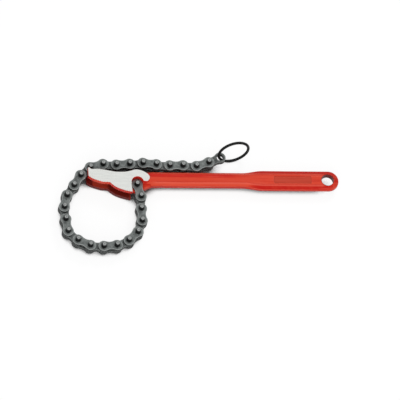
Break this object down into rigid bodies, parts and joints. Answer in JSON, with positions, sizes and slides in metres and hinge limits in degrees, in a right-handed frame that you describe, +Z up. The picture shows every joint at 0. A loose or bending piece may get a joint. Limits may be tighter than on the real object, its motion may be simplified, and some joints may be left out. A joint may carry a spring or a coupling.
{
  "type": "chain pipe wrench",
  "caption": "Chain pipe wrench: red forged handle with a ground double jaw, a hinged plate chain on long pins that wraps round a pipe, and a wire ring at the free end.",
  "frame": {"origin": "middle of the hanging hole, on the handle's middle plane", "axes": "+X from the jaw to the grip end along the handle, +Z up through the hanging hole as the wrench lies flat, +Y away from the chain's loop"},
  "size_m": [0.3346, 0.1357, 0.0393],
  "materials": {
    "handle_forging": "glossy red paint, with the jaw's side faces ground bright",
    "chain_plate": "oiled gunmetal steel",
    "chain_pin": "dark steel, brighter on the bevelled ends",
    "ring_wire": "black oxide wire"
  },
  "bodies": {
    "handle": {"handle": "handle_forging", "jaw_head": "handle_forging"},
    "link_01": {"outer_plates_01": "chain_plate", "pins_01": "chain_pin"},
    "link_02": {"inner_plates_01": "chain_plate"},
    "link_03": {"outer_plates_02": "chain_plate", "pins_02": "chain_pin"},
    "link_04": {"inner_plates_02": "chain_plate"},
    "link_05": {"outer_plates_03": "chain_plate", "pins_03": "chain_pin"},
    "link_06": {"inner_plates_03": "chain_plate"},
    "link_07": {"outer_plates_04": "chain_plate", "pins_04": "chain_pin"},
    "link_08": {"inner_plates_04": "chain_plate"},
    "link_09": {"outer_plates_05": "chain_plate", "pins_05": "chain_pin"},
    "link_10": {"inner_plates_05": "chain_plate"},
    "link_11": {"outer_plates_06": "chain_plate", "pins_06": "chain_pin"},
    "link_12": {"inner_plates_06": "chain_plate"},
    "link_13": {"outer_plates_07": "chain_plate", "pins_07": "chain_pin"},
    "link_14": {"inner_plates_07": "chain_plate"},
    "link_15": {"outer_plates_08": "chain_plate", "pins_08": "chain_pin"},
    "link_16": {"inner_plates_08": "chain_plate"},
    "link_17": {"outer_plates_09": "chain_plate", "pins_09": "chain_pin"},
    "link_18": {"inner_plates_09": "chain_plate"},
    "link_19": {"outer_plates_10": "chain_plate", "pins_10": "chain_pin"},
    "link_20": {"inner_plates_10": "chain_plate"},
    "link_21": {"outer_plates_11": "chain_plate", "pins_11": "chain_pin"},
    "link_22": {"inner_plates_11": "chain_plate"},
    "link_23": {"outer_plates_12": "chain_plate", "pins_12": "chain_pin"},
    "link_24": {"inner_plates_12": "chain_plate"},
    "link_25": {"outer_plates_13": "chain_plate", "pins_13": "chain_pin"},
    "link_26": {"inner_plates_13": "chain_plate"},
    "ring": {"end_ring": "ring_wire"}
  },
  "joints": [
    {"name": "hinge_01", "type": "hinge", "parent": "handle", "child": "link_01", "pos_m": [-0.227, -0.0082, 0], "axis": [0, 0, 1], "range_deg": [-20, 45]},
    {"name": "hinge_02", "type": "hinge", "parent": "link_01", "child": "link_02", "pos_m": [-0.22316, -0.0236, 0], "axis": [0, 0, 1], "range_deg": [-20, 45]},
    {"name": "hinge_03", "type": "hinge", "parent": "link_02", "child": "link_03", "pos_m": [-0.22371, -0.03947, 0], "axis": [0, 0, 1], "range_deg": [-20, 45]},
    {"name": "hinge_04", "type": "hinge", "parent": "link_03", "child": "link_04", "pos_m": [-0.22371, -0.05534, 0], "axis": [0, 0, 1], "range_deg": [-20, 45]},
    {"name": "hinge_05", "type": "hinge", "parent": "link_04", "child": "link_05", "pos_m": [-0.2294, -0.07016, 0], "axis": [0, 0, 1], "range_deg": [-20, 45]},
    {"name": "hinge_06", "type": "hinge", "parent": "link_05", "child": "link_06", "pos_m": [-0.24063, -0.08139, 0], "axis": [0, 0, 1], "range_deg": [-20, 45]},
    {"name": "hinge_07", "type": "hinge", "parent": "link_06", "child": "link_07", "pos_m": [-0.25513, -0.08785, 0], "axis": [0, 0, 1], "range_deg": [-20, 45]},
    {"name": "hinge_08", "type": "hinge", "parent": "link_07", "child": "link_08", "pos_m": [-0.27095, -0.08923, 0], "axis": [0, 0, 1], "range_deg": [-20, 45]},
    {"name": "hinge_09", "type": "hinge", "parent": "link_08", "child": "link_09", "pos_m": [-0.28678, -0.08812, 0], "axis": [0, 0, 1], "range_deg": [0, 25]},
    {"name": "hinge_10", "type": "hinge", "parent": "link_09", "child": "link_10", "pos_m": [-0.30105, -0.08116, 0], "axis": [0, 0, 1], "range_deg": [0, 25]},
    {"name": "hinge_11", "type": "hinge", "parent": "link_10", "child": "link_11", "pos_m": [-0.31208, -0.06974, 0], "axis": [0, 0, 1], "range_deg": [0, 25]},
    {"name": "hinge_12", "type": "hinge", "parent": "link_11", "child": "link_12", "pos_m": [-0.31401, -0.05399, 0], "axis": [0, 0, 1], "range_deg": [0, 75]},
    {"name": "hinge_13", "type": "hinge", "parent": "link_12", "child": "link_13", "pos_m": [-0.31484, -0.03813, 0], "axis": [0, 0, 1], "range_deg": [0, 25]},
    {"name": "hinge_14", "type": "hinge", "parent": "link_13", "child": "link_14", "pos_m": [-0.31073, -0.0228, 0], "axis": [0, 0, 1], "range_deg": [0, 25]},
    {"name": "hinge_15", "type": "hinge", "parent": "link_14", "child": "link_15", "pos_m": [-0.30163, -0.0098, 0], "axis": [0, 0, 1], "range_deg": [0, 25]},
    {"name": "hinge_16", "type": "hinge", "parent": "link_15", "child": "link_16", "pos_m": [-0.29298, 0.00352, 0], "axis": [0, 0, 1], "range_deg": [0, 25]},
    {"name": "hinge_17", "type": "hinge", "parent": "link_16", "child": "link_17", "pos_m": [-0.281, 0.01393, 0], "axis": [0, 0, 1], "range_deg": [0, 25]},
    {"name": "hinge_18", "type": "hinge", "parent": "link_17", "child": "link_18", "pos_m": [-0.26574, 0.01831, 0], "axis": [0, 0, 1], "range_deg": [0, 25]},
    {"name": "hinge_19", "type": "hinge", "parent": "link_18", "child": "link_19", "pos_m": [-0.24989, 0.01748, 0], "axis": [0, 0, 1], "range_deg": [0, 25]},
    {"name": "hinge_20", "type": "hinge", "parent": "link_19", "child": "link_20", "pos_m": [-0.23407, 0.01886, 0], "axis": [0, 0, 1], "range_deg": [0, 25]},
    {"name": "hinge_21", "type": "hinge", "parent": "link_20", "child": "link_21", "pos_m": [-0.21826, 0.02024, 0], "axis": [0, 0, 1], "range_deg": [0, 25]},
    {"name": "hinge_22", "type": "hinge", "parent": "link_21", "child": "link_22", "pos_m": [-0.20247, 0.01859, 0], "axis": [0, 0, 1], "range_deg": [0, 25]},
    {"name": "hinge_23", "type": "hinge", "parent": "link_22", "child": "link_23", "pos_m": [-0.18666, 0.0172, 0], "axis": [0, 0, 1], "range_deg": [0, 25]},
    {"name": "hinge_24", "type": "hinge", "parent": "link_23", "child": "link_24", "pos_m": [-0.17078, 0.01748, 0], "axis": [0, 0, 1], "range_deg": [0, 25]},
    {"name": "hinge_25", "type": "hinge", "parent": "link_24", "child": "link_25", "pos_m": [-0.15493, 0.01665, 0], "axis": [0, 0, 1], "range_deg": [0, 25]},
    {"name": "hinge_26", "type": "hinge", "parent": "link_25", "child": "link_26", "pos_m": [-0.13992, 0.02182, 0], "axis": [0, 0, 1], "range_deg": [0, 25]},
    {"name": "ring_swing", "type": "hinge", "parent": "link_26", "child": "ring", "pos_m": [-0.1259, 0.02927, 0], "axis": [0, 0, 1], "range_deg": [-35, 60]}
  ],
  "couplings": [
    {"joint": "hinge_01", "follows": "hinge_12", "ratio": 0.12},
    {"joint": "hinge_02", "follows": "hinge_12", "ratio": 0.12},
    {"joint": "hinge_03", "follows": "hinge_12", "ratio": 0.12},
    {"joint": "hinge_04", "follows": "hinge_12", "ratio": 0.12},
    {"joint": "hinge_05", "follows": "hinge_12", "ratio": 0.12},
    {"joint": "hinge_06", "follows": "hinge_12", "ratio": 0.12},
    {"joint": "hinge_07", "follows": "hinge_12", "ratio": 0.12},
    {"joint": "hinge_08", "follows": "hinge_12", "ratio": 0.12}
  ]
}
